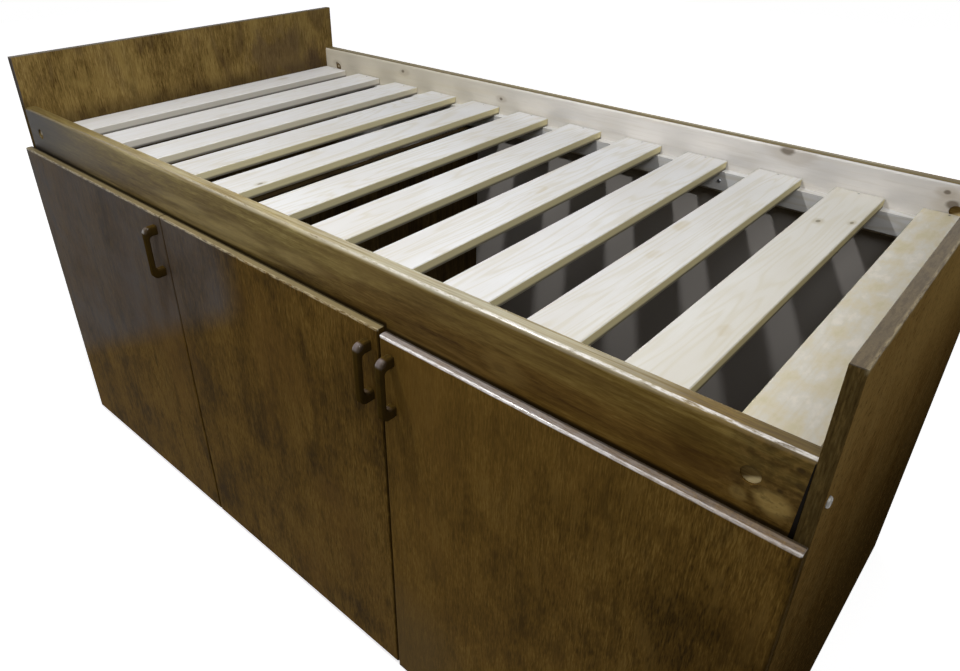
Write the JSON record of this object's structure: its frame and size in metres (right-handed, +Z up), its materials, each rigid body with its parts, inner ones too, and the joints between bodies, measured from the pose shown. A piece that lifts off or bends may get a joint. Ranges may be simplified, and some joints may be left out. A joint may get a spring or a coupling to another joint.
{
  "type": "cabinet bed",
  "caption": "Single bed with a slatted deck between two end panels, over a low cupboard with hinged doors along one long side.",
  "frame": {"origin": "on the floor, under the middle of the carcass between the end panels, rails and doors' closing face", "axes": "+X from the head end to the foot end, +Y from the doors to the back, +Z up"},
  "size_m": [1.943, 1.027, 1.045],
  "materials": {
    "stained_ply": "dark brown stain and varnish on plywood",
    "stained_pine": "dark brown stain and varnish on pine",
    "raw_pine": "bare planed pine",
    "handle_paint": "glossy dark brown",
    "zinc": "bright zinc plate",
    "nickel": "nickel plate",
    "nail_steel": "dull steel"
  },
  "bodies": {
    "carcass": {"head_panel": "stained_ply", "foot_panel": "stained_ply", "front_rail": "stained_pine", "back_rail": "stained_pine", "cabinet_floor": "stained_ply", "back_panel": "stained_ply", "divider": "stained_ply", "front_batten": "raw_pine", "back_batten": "raw_pine", "bed_bolts": "zinc", "bed_washers": "zinc", "bed_nuts": "zinc", "recess_plugs": "stained_pine", "batten_screws": "zinc", "slat_nails": "nail_steel", "slat_1": "raw_pine", "slat_2": "raw_pine", "slat_3": "raw_pine", "slat_4": "raw_pine", "slat_5": "raw_pine", "slat_6": "raw_pine", "slat_7": "raw_pine", "slat_8": "raw_pine", "slat_9": "raw_pine", "slat_10": "raw_pine", "slat_11": "raw_pine", "slat_12": "raw_pine", "hinge_arms_1": "nickel", "hinge_pins_1": "nickel", "hinge_plates_1": "nickel", "plate_screws_1": "zinc", "hinge_arms_2": "nickel", "hinge_pins_2": "nickel", "hinge_plates_2": "nickel", "plate_screws_2": "zinc", "hinge_arms_3": "nickel", "hinge_pins_3": "nickel", "hinge_plates_3": "nickel", "plate_screws_3": "zinc"},
    "door_1": {"door_1": "stained_ply", "handle_1": "handle_paint", "handle_screws_1": "zinc", "hinge_cups_1": "nickel", "cup_screws_1": "zinc"},
    "door_1_links": {"hinge_links_1": "nickel"},
    "door_2": {"door_2": "stained_ply", "handle_2": "handle_paint", "handle_screws_2": "zinc", "hinge_cups_2": "nickel", "cup_screws_2": "zinc"},
    "door_2_links": {"hinge_links_2": "nickel"},
    "door_3": {"door_3": "stained_ply", "handle_3": "handle_paint", "handle_screws_3": "zinc", "hinge_cups_3": "nickel", "cup_screws_3": "zinc"},
    "door_3_links": {"hinge_links_3": "nickel"}
  },
  "joints": [
    {"name": "door_1_swing", "type": "hinge", "parent": "carcass", "child": "door_1", "pos_m": [-0.9573, -0.511, 0.417], "axis": [0, 0, -1], "range_deg": [0, 95]},
    {"name": "door_1_links_swing", "type": "hinge", "parent": "carcass", "child": "door_1_links", "pos_m": [-0.9256, -0.4859, 0.417], "axis": [0, 0, 1], "range_deg": [0, 31.5]},
    {"name": "door_2_swing", "type": "hinge", "parent": "carcass", "child": "door_2", "pos_m": [-0.31163, -0.511, 0.417], "axis": [0, 0, -1], "range_deg": [0, 95]},
    {"name": "door_2_links_swing", "type": "hinge", "parent": "carcass", "child": "door_2_links", "pos_m": [-0.27993, -0.4859, 0.417], "axis": [0, 0, 1], "range_deg": [0, 31.5]},
    {"name": "door_3_swing", "type": "hinge", "parent": "carcass", "child": "door_3", "pos_m": [0.9573, -0.511, 0.417], "axis": [0, 0, 1], "range_deg": [0, 95]},
    {"name": "door_3_links_swing", "type": "hinge", "parent": "carcass", "child": "door_3_links", "pos_m": [0.9256, -0.4859, 0.417], "axis": [0, 0, -1], "range_deg": [0, 31.5]}
  ],
  "couplings": [
    {"joint": "door_1_links_swing", "follows": "door_1_swing", "ratio": 0.326},
    {"joint": "door_2_links_swing", "follows": "door_2_swing", "ratio": 0.326},
    {"joint": "door_3_links_swing", "follows": "door_3_swing", "ratio": 0.326}
  ]
}
